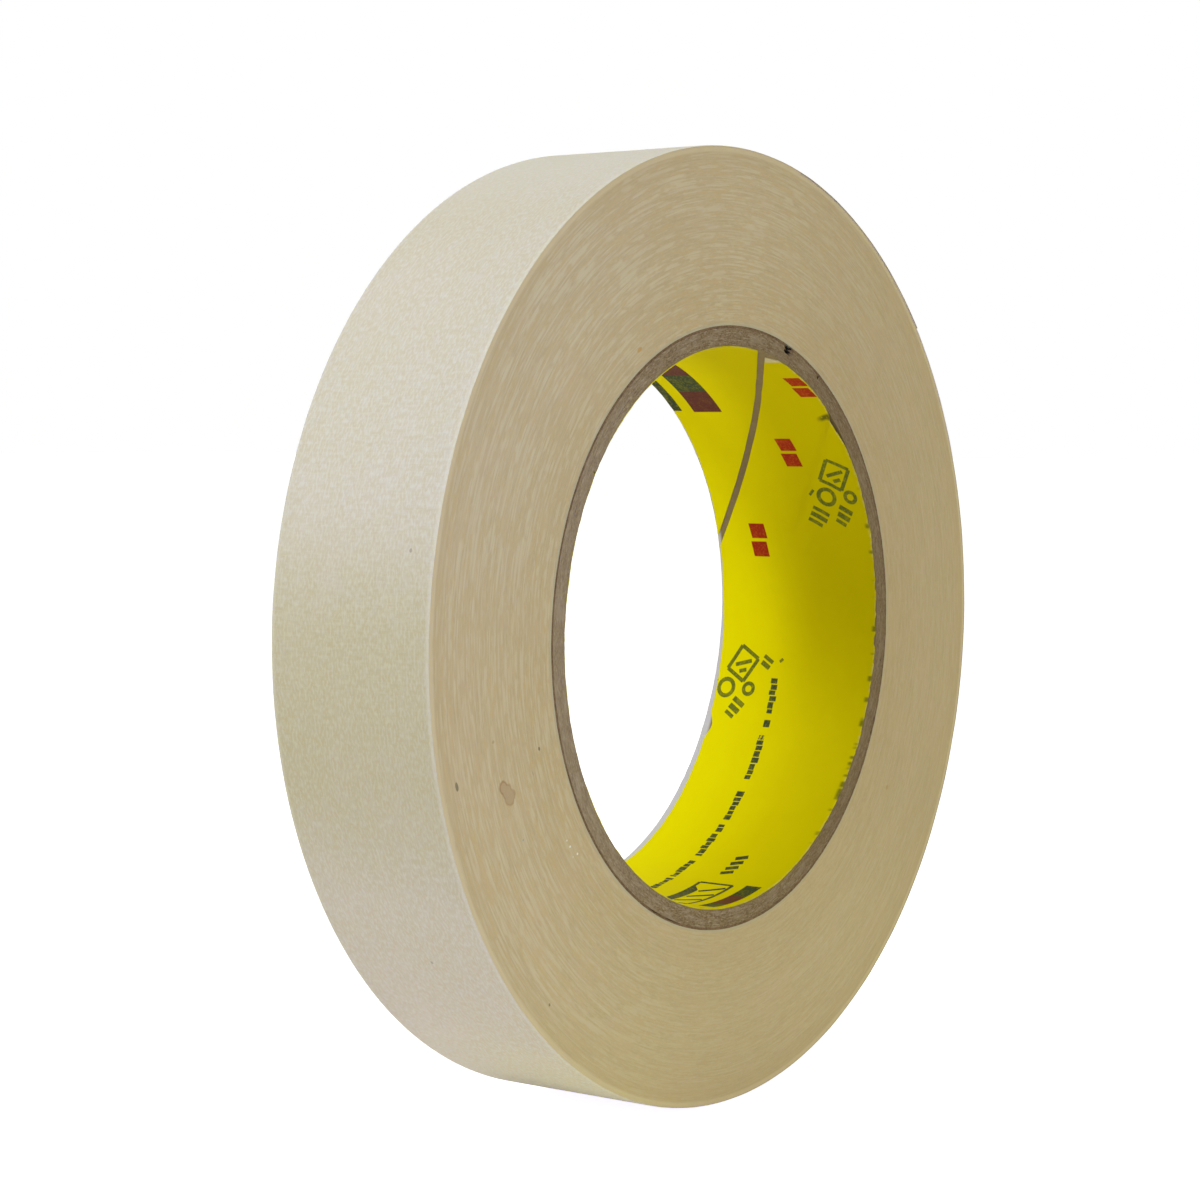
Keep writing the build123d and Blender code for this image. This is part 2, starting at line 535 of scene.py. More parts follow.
def patch(corners):
    """A printed four-sided patch. Its corners are angles and places along the axis, in order."""
    corners = [np.array((angle, y * MM)) for angle, y in corners]
    size = max(np.ptp([c[0] for c in corners]), 1)

    def place(along, across, through):
        near = corners[0] * (1 - along[:, None]) + corners[1] * along[:, None]
        far = corners[3] * (1 - along[:, None]) + corners[2] * along[:, None]
        angle, y = (near * (1 - across[:, None]) + far * across[:, None]).T
        return ink_point(angle, y, through)

    return block((max(3, int(size / 0.7)), 4, 1), place)


def bar(start, end, width):
    """A printed straight line between two places, as wide as said in millimetres."""
    a = np.array([start[0] * DEGREE_LENGTH, start[1]])
    b = np.array([end[0] * DEGREE_LENGTH, end[1]])
    side = np.array([-(b - a)[1], (b - a)[0]]) / np.linalg.norm(b - a) * width / 2
    corners = (a + side, b + side, b - side, a - side)
    return patch([(x / DEGREE_LENGTH, y) for x, y in corners])


def frame_marks(corners, width):
    """The outline of a printed shape."""
    return [bar(corners[n - 1], corners[n], width) for n in range(len(corners))]


def ring_mark(centre, radius, width):
    """A printed ring, with sizes in millimetres."""

    def place(along, across, through):
        reach = radius + (across - 0.5) * width
        angle = centre[0] + reach * np.cos(2 * np.pi * along) / DEGREE_LENGTH
        y = (centre[1] + reach * np.sin(2 * np.pi * along)) * MM
        return ink_point(angle, y, through)

    return block((20, 1, 1), place, closed=True)


# Angle and place along the axis, in millimetres, of the middle of each red mark
RED_MARKS = ((59.7, -10.9), (38.2, -2.3), (15.7, 7.1))


def red_marks():
    """Three plain marks of two upright bars, repeated along the seam."""
    shells = []
    for angle, y in RED_MARKS:
        for side in (-1, 1):
            middle = angle + side * 2.15
            shells.append(patch([(middle - 1.75, y - 1.5), (middle + 1.75, y - 1.2),
                                 (middle + 1.75, y + 1.5), (middle - 1.75, y + 1.2)]))
    return shells


def symbol_marks(angle, y):
    """A group of plain signs in two rows that run along the liner's seam.

    The signs are placed in millimetres along the rows and across them, each line by its two ends
    and its width. Those beyond the liner's edges are left out.
    """
    slope = math.atan2(SEAM_PITCH / MM / TURN, DEGREE_LENGTH)

    def at(along, across):
        left = along * math.cos(slope) - across * math.sin(slope)
        up = along * math.sin(slope) + across * math.cos(slope)
        return angle - left / DEGREE_LENGTH, y + up

    def lines(*rows):
        return [bar(at(*ends[:2]), at(*ends[2:]), width) for *ends, width in rows]

    shells = frame_marks([at(-2.1, -1.8), at(2.1, -1.8), at(2.1, 1.8), at(-2.1, 1.8)], 0.6)
    shells += lines((-1.2, -1.0, 0.9, 1.0, 0.6), (0.4, -1.1, 1.3, -0.2, 0.6))
    shells.append(ring_mark(at(4.5, 0), 1.3, 0.65))
    shells += lines((4.4, 2.2, 5.6, 2.5, 0.45))
    if at(8.4, 0)[1] < CORE_BACK / MM - 1:
        shells += lines((7.3, -1.4, 7.3, 1.4, 0.6), (8.4, -1.4, 8.4, 1.4, 0.75),
                        (9.5, -1, 9.5, 1.4, 0.6))
    if at(-2.6, -3.4)[1] > TAPE_FRONT / MM + 1:
        shells += lines((-3.1, -4.3, -3.1, -2.4, 0.6), (-2.1, -4.3, -2.1, -2.6, 0.75),
                        (-4.6, -5.4, -3.9, -5.2, 0.45))
    shells.append(ring_mark(at(2.4, -3.4), 0.85, 0.6))
    shells += lines((4.9, -4.6, 4.9, -2.3, 0.8), (6.1, -4.6, 6.1, -2.5, 0.85),
                    (7.2, -4.4, 7.2, -2.6, 0.6))
    return shells


def dashes(first, last, y, seed):
    """A broken line of short dashes of uneven length and height."""
    random = np.random.default_rng(seed)
    shells = []
    angle = first
    while angle > last:
        length = min(random.uniform(0.8, 1.7), angle - last + 0.3)
        low = random.uniform(0.35, 0.7)
        high = random.uniform(0.35, 0.75)
        shells.append(patch([(angle, y - low), (angle, y + high),
                             (angle - length, y + high), (angle - length, y - low)]))
        angle -= length + random.uniform(0.14, 0.32)
    return shells


def four_sided(first, last, low, high):
    """A plain patch between two angles and two places along the axis."""
    return patch([(first, low), (first, high), (last, high), (last, low)])


def dark_marks():
    """Broken lines, a framed box and plain bars in dark green ink."""
    stretches = ((-15.9, -23.8), (-25.7, -27.6), (-29.4, -40.4), (-44.1, -52.2),
                 (-54.1, -56.2), (-57.2, -65.1), (-67.5, -75), (-76.2, -82.8))
    shells = []
    for number, (first, last) in enumerate(stretches):
        shells += dashes(first, last, 4.1, 81 + number)
    for angle in (-63.9, -66.0, -68.1, -70.2):
        shells.append(bar((angle, -4.1), (angle - 1.1, -2.3), 0.9))
    shells += frame_marks([(-76.5, -1.1), (-93.5, -1.1), (-93.5, -6.6), (-76.5, -6.6)], 0.55)
    shells.append(patch([(-78.5, -1.2), (-93, -1.2), (-91, -2.7), (-81, -2.7)]))
    for angle in (-78.3, -82.8, -87.3):
        shells.append(bar((angle, -6.2), (angle - 3.4, -3.1), 0.7))
    shells += [four_sided(-75.6, -81.8, -11.1, -8.6), four_sided(-89.3, -94, -11.1, -8.6)]
    shells += [four_sided(63, 51, 12.5, 14.0), four_sided(65.4, 58.2, 5.6, 10.5)]
    return shells


def pale_marks():
    """The groups of plain signs, in a thinner green."""
    return symbol_marks(32.3, -8.7) + symbol_marks(-12.9, 10.2)


def brown_marks():
    """Plain blocks beside the dark ones."""
    return [four_sided(72, 65.4, 5.6, 10.5), four_sided(58.2, 50.6, 5.6, 10.5),
            four_sided(-81.8, -89.3, -11.1, -8.6)]


# ---- Node helpers ----


def feed(tree, values, slots):
    """Gives each socket its value: what a term works out, or a constant."""
    for value, slot in zip(values, slots):
        if isinstance(value, Term):
            tree.links.new(value.socket, slot)
        else:
            slot.default_value = value


class Term:
    """A number or colour that nodes work out, so that a formula can be written as one."""

    def __init__(self, tree, socket):
        self.tree = tree
        self.socket = socket

    def math(self, operation, *others):
        """What a Math node makes of this number and the others."""
        node = self.tree.nodes.new("ShaderNodeMath")
        node.operation = operation
        feed(self.tree, (self, *others), node.inputs)
        return Term(self.tree, node.outputs[0])

    def __add__(self, other):
        return self.math("ADD", other)

    def __sub__(self, other):
        return self.math("SUBTRACT", other)

    def __mul__(self, other):
        return self.math("MULTIPLY", other)

    def __truediv__(self, other):
        return self.math("DIVIDE", other)

    def smooth(self, low, high):
        """0 below low, 1 above high, smooth between them. High may be the lower one."""
        if low > high:
            return (self * -1).smooth(-low, -high)
        node = self.tree.nodes.new("ShaderNodeMapRange")
        node.interpolation_type = "SMOOTHSTEP"
        slots = [node.inputs[name] for name in ("Value", "From Min", "From Max")]
        feed(self.tree, (self, low, high), slots)
        return Term(self.tree, node.outputs[0])


def split_up(tree, vector):
    """The three terms of a vector socket."""
    node = tree.nodes.new("ShaderNodeSeparateXYZ")
    tree.links.new(vector, node.inputs[0])
    return [Term(tree, socket) for socket in node.outputs]


def coordinates(tree, uv_map=None):
    """The terms x, y and z of the object's own space, or u and v of its UV map."""
    if uv_map:
        source = tree.nodes.new("ShaderNodeUVMap")
        source.uv_map = uv_map
        return split_up(tree, source.outputs["UV"])
    return split_up(tree, tree.nodes.new("ShaderNodeTexCoord").outputs["Object"])


def round_axis(tree):
    """The terms radius, y, and the cosine and sine of the angle about the roll's axis."""
    x, y, z = coordinates(tree)
    radius = (x * x + z * z).math("SQRT")
    return radius, y, x / radius, z / radius


def noise(x, y, z, detail=2.0, roughness=0.5):
    """Smooth noise from 0 to 1 with features about one unit of x, y and z across."""
    tree = x.tree
    join = tree.nodes.new("ShaderNodeCombineXYZ")
    feed(tree, (x, y, z), join.inputs)
    node = tree.nodes.new("ShaderNodeTexNoise")
    node.inputs["Scale"].default_value = 1.0
    node.inputs["Detail"].default_value = detail
    node.inputs["Roughness"].default_value = roughness
    tree.links.new(join.outputs[0], node.inputs["Vector"])
    return Term(tree, node.outputs[0])


def mixed(factor, first, second, blend="MIX"):
    """A colour between two others, each of them a constant or what another mix makes."""
    node = factor.tree.nodes.new("ShaderNodeMix")
    node.data_type = "RGBA"
    node.blend_type = blend
    colours = [value if isinstance(value, Term) else (*value, 1.0) for value in (first, second)]
    feed(factor.tree, (factor, *colours), (node.inputs[0], node.inputs[6], node.inputs[7]))
    return Term(factor.tree, node.outputs[2])


def near_angle(cosine, sine, centre, far, near):
    """1 within near degrees of an angle about the axis, 0 beyond far degrees of it."""
    turn = math.radians(centre)
    alike = cosine * math.cos(turn) + sine * math.sin(turn)
    return alike.smooth(math.cos(math.radians(far)), math.cos(math.radians(near)))


def round_from(cosine, sine, angle):
    """How far round from an angle a place is, as a share of its distance from the axis."""
    turn = math.radians(angle)
    return sine * math.cos(turn) - cosine * math.sin(turn)


def spot(first, second, centre, size, wobble=0.0):
    """1 inside an oval spot and 0 outside it, from its two place terms and an uneven outline."""
    a = (first - centre[0]) / size[0]
    b = (second - centre[1]) / size[1]
    return ((a * a + b * b).math("SQRT") + wobble).smooth(1.15, 0.8)


def new_material(name):
    """A new material and its node tree."""
    material = bpy.data.materials.new(name)
    material.use_nodes = True
    return material, material.node_tree


def finish_material(tree, colour, roughness, height, depth, specular):
    """Joins the colour, the roughness and the bumps, which are up to depth high, to the shader."""
    shader = tree.nodes["Principled BSDF"]
    shader.inputs["Specular IOR Level"].default_value = specular
    tree.links.new(colour.socket, shader.inputs["Base Color"])
    tree.links.new(roughness.socket, shader.inputs["Roughness"])
    bump = tree.nodes.new("ShaderNodeBump")
    bump.inputs["Distance"].default_value = depth
    tree.links.new(height.socket, bump.inputs["Height"])
    tree.links.new(bump.outputs[0], shader.inputs["Normal"])


# ---- Materials ----

CREAM = (0.66, 0.612, 0.461)
PALE_FIBRE = (0.775, 0.755, 0.655)
YELLOW_FIBRE = (0.645, 0.575, 0.39)
PINK_FIBRE = (0.70, 0.62, 0.50)
PALE_EDGE = (0.77, 0.74, 0.60)
STRETCH_SHADE = (0.88, 0.865, 0.73)
SPECK_BROWN = (0.30, 0.25, 0.17)
SHEEN_ANGLE = 103.0
CREPED_ANGLE = 166.0
SHADE_ANGLE = 186.0

# Specks on the tread: angle, place along the axis and half width, in millimetres
TREAD_SPECKS = ((216.9, -2.1, 0.25), (168.6, -8.8, 0.27))


def near_tape(u, angle, far, near):
    """1 within near of an angle's place along the tape, 0 beyond far of it."""
    return (u - math.radians(angle) * ROLL_RADIUS).math("ABSOLUTE").smooth(far, near)


def crepe_paper():
    """The tape's saturated crepe paper: short fibres along the strip and crepe ridges across it.

    One stretch is darker and yellower as painted shade, another whiter as a painted highlight; the
    edges are pale, partly as a painted highlight.
    """
    material, tree = new_material("crepe_paper")
    u, v, _ = coordinates(tree, "Strip")
    fibres = noise(u / (0.75 * MM), v / (0.3 * MM), 0.0)
    mottle = noise(u / (1.4 * MM), v / (1.1 * MM), 3.0, 1.0)
    ridges = noise(u / (0.33 * MM), v / (2.4 * MM), 9.0)
    stains = noise(u / (2.4 * MM), v / (1.9 * MM), 12.0)
    clouds = noise(u / (5 * MM), v / (4 * MM), 5.0)
    drift = noise(u / (15 * MM), v / (11 * MM), 8.0, 1.0)
    colour = mixed(mottle.smooth(0.38, 0.62) * 0.85, YELLOW_FIBRE, CREAM)
    colour = mixed(drift.smooth(0.4, 0.7) * 0.4, colour, PINK_FIBRE)
    colour = mixed(clouds.smooth(0.4, 0.7) * 0.35, colour, YELLOW_FIBRE)
    colour = mixed(stains.smooth(0.44, 0.6) * 0.5, colour, YELLOW_FIBRE)
    # Painted highlight: the paper is mixed whiter over the stretch round this angle.
    sheen = near_tape(u, SHEEN_ANGLE, 27 * MM, 2 * MM)
    colour = mixed(sheen * 0.42, colour, PALE_FIBRE)
    creped = near_tape(u, CREPED_ANGLE, 30 * MM, 14 * MM) * 0.14 + 0.08
    colour = mixed(ridges.smooth(0.4, 0.7) * creped, colour, PALE_FIBRE)
    colour = mixed(fibres.smooth(0.42, 0.66) * 0.45, colour, PALE_FIBRE)
    # Painted shade: the stretch round this angle is multiplied darker and yellower.
    shaded = near_tape(u, SHADE_ANGLE, 29 * MM, 6 * MM)
    colour = mixed(shaded, colour, STRETCH_SHADE, "MULTIPLY")
    # The pale edges are partly paler paper and partly a painted highlight on the rounded corners.
    rim = v.math("ABSOLUTE").smooth(TAPE_BACK - 0.75 * MM, TAPE_BACK - 0.2 * MM)
    colour = mixed(rim * 0.4, colour, PALE_EDGE)
    for angle, y, width in TREAD_SPECKS:
        place = (math.radians(angle) * ROLL_RADIUS, y * MM)
        speck = spot(u, v, place, (width * MM, 0.8 * width * MM))
        colour = mixed(speck * 0.5, colour, SPECK_BROWN)
    height = fibres * 0.5 + mottle * 0.3 + ridges * 0.2
    roughness = fibres * 0.12 + 0.72
    finish_material(tree, colour, roughness, height, 0.06 * MM, 0.25)
    return material


ADHESIVE_TAN = (0.62, 0.50, 0.29)
ADHESIVE_PALE = (0.68, 0.58, 0.38)
ADHESIVE_DEEP = (0.58, 0.45, 0.24)


def adhesive():
    """The tan, slightly shiny adhesive under the free end."""
    material, tree = new_material("adhesive")
    u, v, _ = coordinates(tree, "Strip")
    fibres = noise(u / (1.8 * MM), v / (0.35 * MM), 2.0)
    patches = noise(u / (5 * MM), v / (3.5 * MM), 4.0, 3.0)
    colour = mixed(fibres.smooth(0.3, 0.7), ADHESIVE_TAN, ADHESIVE_PALE)
    colour = mixed(patches.smooth(0.45, 0.7) * 0.5, colour, ADHESIVE_DEEP)
    roughness = patches * 0.25 + 0.28
    finish_material(tree, colour, roughness, fibres * 0.6 + patches * 0.4, 0.03 * MM, 0.5)
    return material


EDGE_TAN = (0.63, 0.526, 0.332)
EDGE_LIGHT = (0.684, 0.606, 0.413)
EDGE_DARK = (0.558, 0.45, 0.263)
EDGE_CREAM = (0.735, 0.63, 0.41)
EDGE_BROWN = (0.57, 0.45, 0.25)
EDGE_GREY = (0.50, 0.49, 0.35)
EDGE_WARM = (0.628, 0.494, 0.273)
EDGE_PINK = (0.66, 0.52, 0.335)
SCUFF = (0.20, 0.17, 0.10)
STAIN_RIM = (0.40, 0.26, 0.13)
STAIN_FILL = (0.53, 0.40, 0.245)
FLECK_WHITE = (0.9, 0.9, 0.85)

# What the side faces' colour is multiplied by: a painted sheen at the upper left, painted shade at
# the right, and darker by the core
SIDE_SHEEN = (1.025, 1.045, 1.09)
SIDE_SHADE = (0.94, 0.925, 0.925)
DIM_INSIDE = (0.97, 0.955, 0.91)

# Blemishes of the front side face: distance from the axis and angle, half size outwards and
# round, colour, strength. Sizes are in millimetres.
BLEMISHES = (
    (53.3, -162.0, 0.82, 0.85, STAIN_RIM, 0.85),
    (52.8, -161.2, 0.98, 0.95, STAIN_RIM, 0.8),
    (52.45, -160.2, 1.05, 1.15, STAIN_RIM, 0.75),
    (53.25, -161.95, 0.6, 0.62, STAIN_FILL, 0.9),
    (52.75, -161.2, 0.78, 0.75, STAIN_FILL, 0.9),
    (52.45, -160.25, 0.87, 0.97, STAIN_FILL, 0.9),
    (61.6, -165.5, 0.26, 0.62, SCUFF, 0.8),
    (45.2, -164.1, 0.18, 0.28, SCUFF, 0.9),
    (47.3, -161.1, 0.07, 0.3, SCUFF, 0.5),
    (53.7, -168.5, 0.25, 0.2, (0.45, 0.32, 0.15), 0.6),
    (61.0, -132.8, 0.2, 0.22, SCUFF, 0.7),
    (43.3, 120.6, 0.3, 0.6, (0.58, 0.34, 0.10), 0.7),
    (49.1, -32.2, 0.32, 0.35, (0.48, 0.32, 0.14), 0.6),
    (52.2, -153.4, 0.15, 0.13, (0.20, 0.40, 0.55), 0.8),
    (45.0, -147.0, 0.12, 0.13, FLECK_WHITE, 0.7),
    (44.9, -145.6, 0.17, 0.16, FLECK_WHITE, 0.9),
    (44.3, -143.3, 0.16, 0.15, FLECK_WHITE, 0.9),
    (45.2, -143.7, 0.1, 0.1, FLECK_WHITE, 0.7),
)


def cut_edges():
    """The tape's side faces: the stacked edges of the laps, with adhesive between the paper."""
    material, tree = new_material("cut_edges")
    radius, y, cosine, sine = round_axis(tree)
    side = y * 90
    streaks = noise(cosine * 14, radius / (0.2 * MM) + side, sine * 14, 2.0, 0.6)
    pale_lines = noise(cosine * 6, radius / (0.34 * MM) + side, sine * 6)
    warm_lines = noise(cosine * 6, radius / (0.31 * MM) + side, sine * 6 + 4)
    breaks = noise(cosine * 22, radius / (0.8 * MM) + side, sine * 22, 1.0)
    grain = noise(cosine * 70, radius / (0.22 * MM) + side, sine * 70)
    bands = noise(cosine * 1.5, radius / (2.6 * MM) + side, sine * 1.5, 1.0)
    colour = mixed(streaks.smooth(0.3, 0.7) * 0.8 + 0.1, EDGE_DARK, EDGE_TAN)
    # The lines are the laps' own colour; that they show more strongly towards the upper left is
    # painted light.
    marked = near_angle(cosine, sine, 150, 125, 45) * 0.6 + 0.4
    pale = pale_lines.smooth(0.42, 0.6) * breaks.smooth(0.34, 0.56) * marked
    warm = warm_lines.smooth(0.45, 0.6) * breaks.smooth(0.64, 0.42) * marked
    colour = mixed(pale * 0.85, colour, EDGE_LIGHT)
    colour = mixed(warm * 0.8, colour, EDGE_WARM)
    colour = mixed(grain.smooth(0.46, 0.68) * 0.3, colour, EDGE_LIGHT)
    colour = mixed(bands.smooth(0.45, 0.75) * 0.2, colour, EDGE_DARK)
    patches = noise(cosine * 9, radius / (5 * MM) + side, sine * 9)
    colour = mixed(patches.smooth(0.45, 0.7) * 0.25, colour, EDGE_PINK)
    # Painted sheen at the upper left of the side faces.
    colour = mixed(near_angle(cosine, sine, 145, 42, 8), colour, SIDE_SHEEN, "MULTIPLY")
    # Painted shade at the right of the side faces.
    colour = mixed(near_angle(cosine, sine, 15, 75, 25), colour, SIDE_SHADE, "MULTIPLY")
    colour = mixed(radius.smooth(54 * MM, 43 * MM), colour, DIM_INSIDE, "MULTIPLY")
    out = radius.smooth(ROLL_RADIUS - 3.4 * MM, ROLL_RADIUS - 1.6 * MM)
    colour = mixed(out * 0.28, colour, EDGE_BROWN)
    # The pale cream rim is partly the edges' own colour and partly a painted highlight on the
    # rounded corner.
    rim = radius.smooth(ROLL_RADIUS - 1.1 * MM, ROLL_RADIUS - 0.7 * MM)
    colour = mixed(rim * 0.7, colour, EDGE_CREAM)
    inside = radius.smooth(CORE_RADIUS + 0.55 * MM, CORE_RADIUS + 0.1 * MM)
    colour = mixed(inside * 0.6, colour, EDGE_GREY)
    colour = add_blemishes(colour, radius, y, cosine, sine)
    roughness = grain * 0.15 + 0.68
    height = streaks * 0.4 + pale_lines * 0.4 + grain * 0.2
    finish_material(tree, colour, roughness, height, 0.055 * MM, 0.2)
    return material


def add_blemishes(colour, radius, y, cosine, sine):
    """Scuffs and specks, each worked out along its own radius and across it."""
    front = y.smooth(0.0, TAPE_FRONT)
    wobble = (noise(cosine * 55, radius / (0.8 * MM), sine * 55, 1.0) - 0.5) * 0.55
    for reach, angle, half_out, half_round, tint, strength in BLEMISHES:
        turn = math.radians(angle)
        outward_term = (cosine * math.cos(turn) + sine * math.sin(turn)) * radius
        round_term = round_from(cosine, sine, angle) * radius
        size = (half_out * MM, half_round * MM)
        mask = spot(outward_term, round_term, (reach * MM, 0), size, wobble)
        colour = mixed(mask * front * strength, colour, tint)
    return colour


BOARD = (0.295, 0.218, 0.124)
BOARD_LIGHT = (0.46, 0.385, 0.28)
BOARD_DARK = (0.195, 0.135, 0.073)
BOARD_BORE = (0.26, 0.20, 0.085)
BOARD_RIM = (0.66, 0.655, 0.65)
NOTCH_SHADE_BLACK = (0.02, 0.018, 0.015)
WRAP_DARK = (0.13, 0.08, 0.045)
WRAP_BROWN = (0.25, 0.165, 0.095)
WRAP_PALE = (0.32, 0.22, 0.13)


def notch_shade(radius, y, cosine, sine):
    """Painted shade in the hole at the front where the wrap's seam has lost a chip."""
    outer_board = radius.smooth(CORE_RADIUS - 1.5 * MM, CORE_RADIUS - 1.1 * MM)
    place = near_angle(cosine, sine, NOTCH_ANGLE, 1.1, 0.65) * outer_board
    return place * y.smooth(TAPE_FRONT + 3 * MM, TAPE_FRONT + 2 * MM) * 0.95


def core_board():
    """Grey-brown board of pulped fibre."""
    material, tree = new_material("core_board")
    radius, y, cosine, sine = round_axis(tree)
    flecks = noise(cosine * 95, radius / (0.22 * MM) + y * 1200, sine * 95, 2.0, 0.6)
    fibres = noise(cosine * 40, radius / (0.2 * MM) + y * 700, sine * 40)
    patches = noise(cosine * 12, radius / (0.9 * MM) + y * 200, sine * 12)
    colour = mixed(flecks.smooth(0.36, 0.6), BOARD_DARK, BOARD)
    colour = mixed(fibres.smooth(0.52, 0.72) * 0.75, colour, BOARD_LIGHT)
    colour = mixed(patches.smooth(0.45, 0.7) * 0.4, colour, BOARD_LIGHT)
    # Painted light and shade: the board is lighter on the left and darker on the right.
    colour = mixed(cosine.smooth(-0.2, -1.0) * 0.35, colour, BOARD_LIGHT)
    colour = mixed(cosine.smooth(-0.2, 0.8) * 0.45, colour, BOARD_DARK)
    bore = radius.smooth(LINER_RADIUS + 0.25 * MM, LINER_RADIUS + 0.05 * MM)
    colour = mixed(bore * 0.7, colour, BOARD_BORE)
    # Near the back end the bore's board is light grey.
    pale_band = y.smooth(CORE_BACK - 1.6 * MM, CORE_BACK - 0.9 * MM) * bore
    colour = mixed(pale_band * 0.9, colour, BOARD_RIM)
    colour = mixed(notch_shade(radius, y, cosine, sine), colour, NOTCH_SHADE_BLACK)
    roughness = flecks * 0.1 + 0.82
    finish_material(tree, colour, roughness, flecks * 0.5 + fibres * 0.5, 0.12 * MM, 0.15)
    return material


def core_wrap_paper():
    """The darker brown paper round the board."""
    material, tree = new_material("core_wrap_paper")
    radius, y, cosine, sine = round_axis(tree)
    flecks = noise(cosine * 80, radius / (0.2 * MM) + y * 1500, sine * 80, 2.0, 0.6)
    patches = noise(cosine * 14, radius / (0.8 * MM) + y * 300, sine * 14)
    colour = mixed(flecks.smooth(0.3, 0.7), WRAP_DARK, WRAP_BROWN)
    colour = mixed(patches.smooth(0.45, 0.75) * 0.5, colour, WRAP_PALE)
    colour = mixed(notch_shade(radius, y, cosine, sine), colour, NOTCH_SHADE_BLACK)
    roughness = flecks * 0.1 + 0.78
    finish_material(tree, colour, roughness, flecks * 0.6 + patches * 0.4, 0.08 * MM, 0.2)
    return material


LINER_YELLOW = (0.845, 0.752, 0.0)
LINER_DEEP = (0.83, 0.74, 0.0)
LINER_BRIGHT = (0.87, 0.785, 0.0)
LINER_SHADE = (0.63, 0.545, 0.0)
LINER_PULP = (0.66, 0.60, 0.42)
SHADE_DARK = (0.08, 0.08, 0.01)


def crease(y, cosine, sine):
    """Painted shade along the crease that runs in from the open fold at the liner's front edge."""
    past = round_from(cosine, sine, RIDGE_ANGLE - 0.3) * BORE_RADIUS
    away = (past + (y - TAPE_FRONT) * 0.43).math("ABSOLUTE")
    here = near_angle(cosine, sine, RIDGE_ANGLE, 20, 15)
    fading = y.smooth(TAPE_FRONT + 3 * MM, TAPE_FRONT + 1.5 * MM)
    return away.smooth(0.75 * MM, 0.15 * MM) * here * fading


def bare_corner(y, cosine, sine):
    """The torn corner beside the open seam, where the print has come off the paper."""
    past = round_from(cosine, sine, LINER_SEAM_ANGLE) * BORE_RADIUS
    beside = past + (y - TAPE_FRONT) * (2 * math.pi * BORE_RADIUS / SEAM_PITCH)
    fading = y.smooth(TAPE_FRONT + 2.9 * MM, TAPE_FRONT + 2.4 * MM)
    return beside.smooth(0.2 * MM, -0.2 * MM) * near_angle(cosine, sine, 75.6, 4.1, 3.3) * fading


def liner_paper():
    """Smooth paper printed bright yellow and worn along its front edge, with painted shade and
    painted shadows on it.
    """
    material, tree = new_material("liner_paper")
    _, y, cosine, sine = round_axis(tree)
    grain = noise(cosine * 70, y / (0.5 * MM), sine * 70, 3.0)
    clouds = noise(cosine * 6, y / (6 * MM), sine * 6)
    colour = mixed(grain.smooth(0.3, 0.7) * 0.5, LINER_YELLOW, LINER_DEEP)
    colour = mixed(clouds.smooth(0.4, 0.75) * 0.4, colour, LINER_BRIGHT)
    # Painted shade: darker towards the front over the right of the bore, and a little darker
    # towards the front edge all round.
    bore_shade = y.smooth(8 * MM, -4 * MM) * near_angle(cosine, sine, 42, 75, 32)
    colour = mixed(bore_shade * 0.9, colour, LINER_SHADE)
    colour = mixed(y.smooth(0.0, -12 * MM) * 0.3, colour, LINER_SHADE)
    pale_band = y.smooth(TAPE_FRONT + 0.45 * MM, TAPE_FRONT + 0.1 * MM) * grain.smooth(0.4, 0.65)
    colour = mixed(pale_band * 0.35, colour, LINER_PULP)
    # Painted shadows: dark spots along the front edge.
    spots = noise(cosine * 26, 7.0, sine * 26, 1.0).smooth(0.54, 0.66)
    spots = spots * near_angle(cosine, sine, -15, 48, 32)
    edge_shadows = y.smooth(TAPE_FRONT + 1.0 * MM, TAPE_FRONT + 0.4 * MM) * spots
    colour = mixed(edge_shadows * 0.7, colour, SHADE_DARK)
    colour = mixed(bare_corner(y, cosine, sine) * 0.75, colour, LINER_PULP)
    # Painted shade along the crease.
    creased = crease(y, cosine, sine) * grain.smooth(0.1, 0.5)
    colour = mixed(creased * 0.85, colour, SHADE_DARK)
    roughness = grain * 0.15 + 0.55
    finish_material(tree, colour, roughness, grain * 0.6 + clouds * 0.4, 0.03 * MM, 0.01)
    return material


def ink(name, full, faded):
    """Thin printing ink that lets the paper's grain through."""
    material, tree = new_material(name)
    _, y, cosine, sine = round_axis(tree)
    grain = noise(cosine * 110, y / (0.33 * MM), sine * 110)
    wear = noise(cosine * 25, y / (1.4 * MM), sine * 25)
    colour = mixed(grain.smooth(0.45, 0.75) * 0.7, full, faded)
    colour = mixed(wear.smooth(0.45, 0.75) * 0.35, colour, faded)
    roughness = grain * 0.15 + 0.5
    finish_material(tree, colour, roughness, grain, 0.01 * MM, 0.1)
    return material


# ---- Stage ----

FLOOR_SIZE = 6.0
FLOOR_CORNERS = ((-1, -1), (1, -1), (1, 1), (-1, 1))
FLOOR_SEEN = (0.82, 0.82, 1.0)
FLOOR_GLOW = (0.11, 0.10, 0.24)
FLOOR_GLOW_LEFT = (0.23, 0.24, 0.27)


